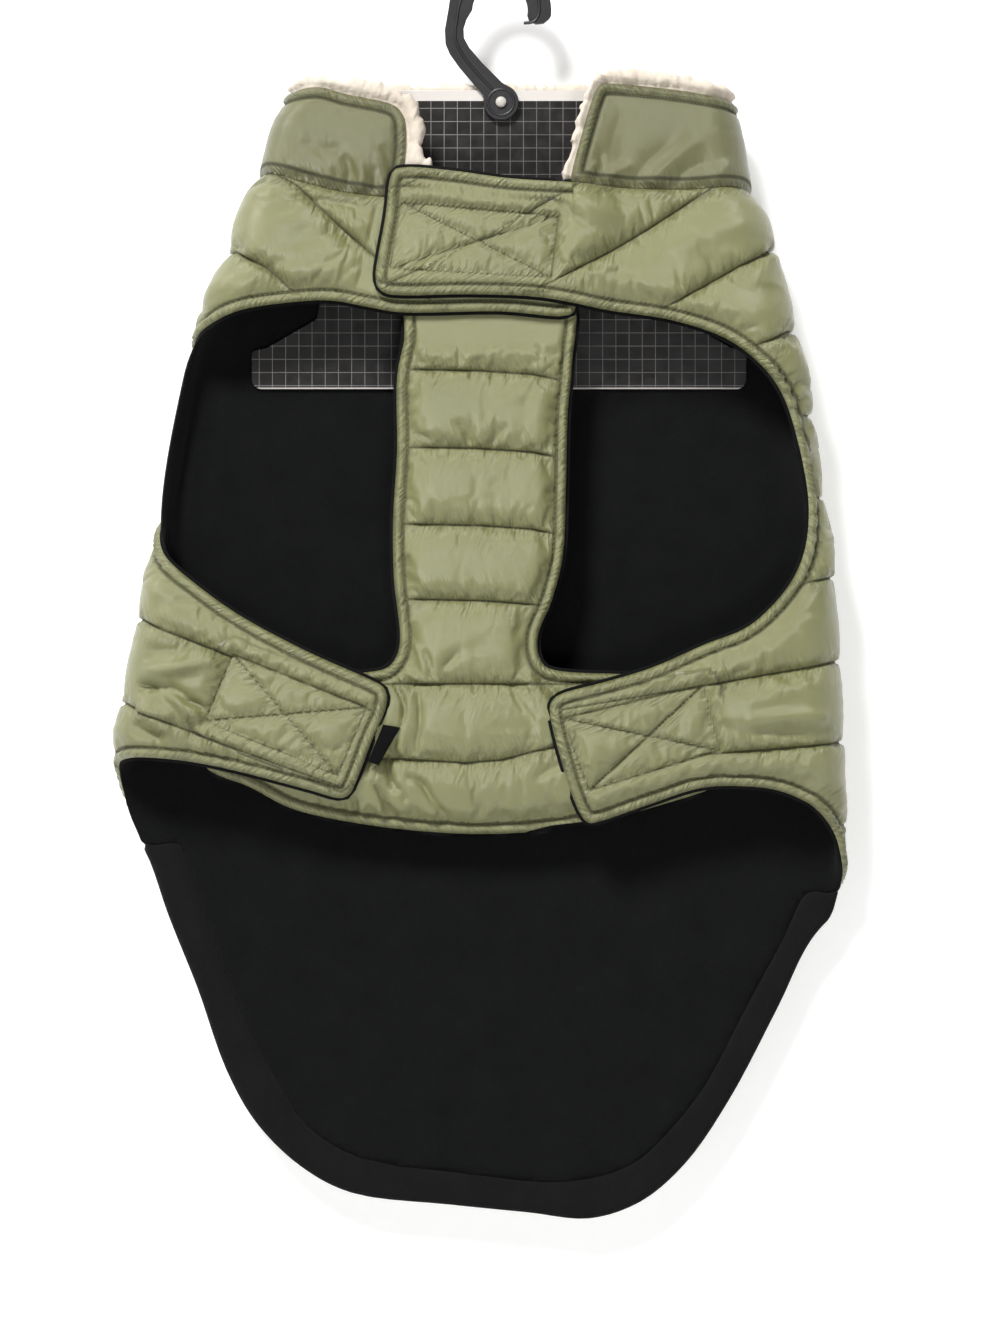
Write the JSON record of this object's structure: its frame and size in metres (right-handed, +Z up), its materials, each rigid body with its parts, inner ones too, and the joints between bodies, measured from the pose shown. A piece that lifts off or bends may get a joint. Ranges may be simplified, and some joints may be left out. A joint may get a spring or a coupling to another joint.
{
  "type": "dog winter coat on a card hanger",
  "caption": "Quilted padded dog coat with a fleece lining, pile-lined collar, neck tab, belly flaps and long tail, on a flat card hanger with a plastic hook.",
  "frame": {"origin": "the highest point of the inside of the hook, halfway through its thickness, where a rail bears", "axes": "+Z up along the hanging coat, -Y out of its chest side, +X towards the wearer's left"},
  "size_m": [0.3723, 0.0556, 0.6384],
  "materials": {
    "quilted_nylon": "satin woven nylon over padding, olive green",
    "collar_nylon": "satin woven nylon, olive green",
    "black_fleece": "matt brushed fleece, black",
    "facing_fleece": "matt brushed fleece, black",
    "sherpa_pile": "curly pile, cream",
    "label_tape": "woven tape, black, blank",
    "hanger_card": "coated card, black with a pale printed grid",
    "hook_plastic": "moulded plastic, black, half matt",
    "rivet_plastic": "moulded plastic, grey"
  },
  "bodies": {
    "root": {"body_shell": "quilted_nylon", "body_lining": "black_fleece", "tail_facing": "facing_fleece", "collar_shell": "collar_nylon", "collar_sherpa": "sherpa_pile", "chest_panel": "quilted_nylon", "chest_lining": "black_fleece", "side_label": "label_tape", "hanger_card": "hanger_card", "hanger_hook": "hook_plastic", "hanger_rivet": "rivet_plastic"}
  },
  "joints": []
}
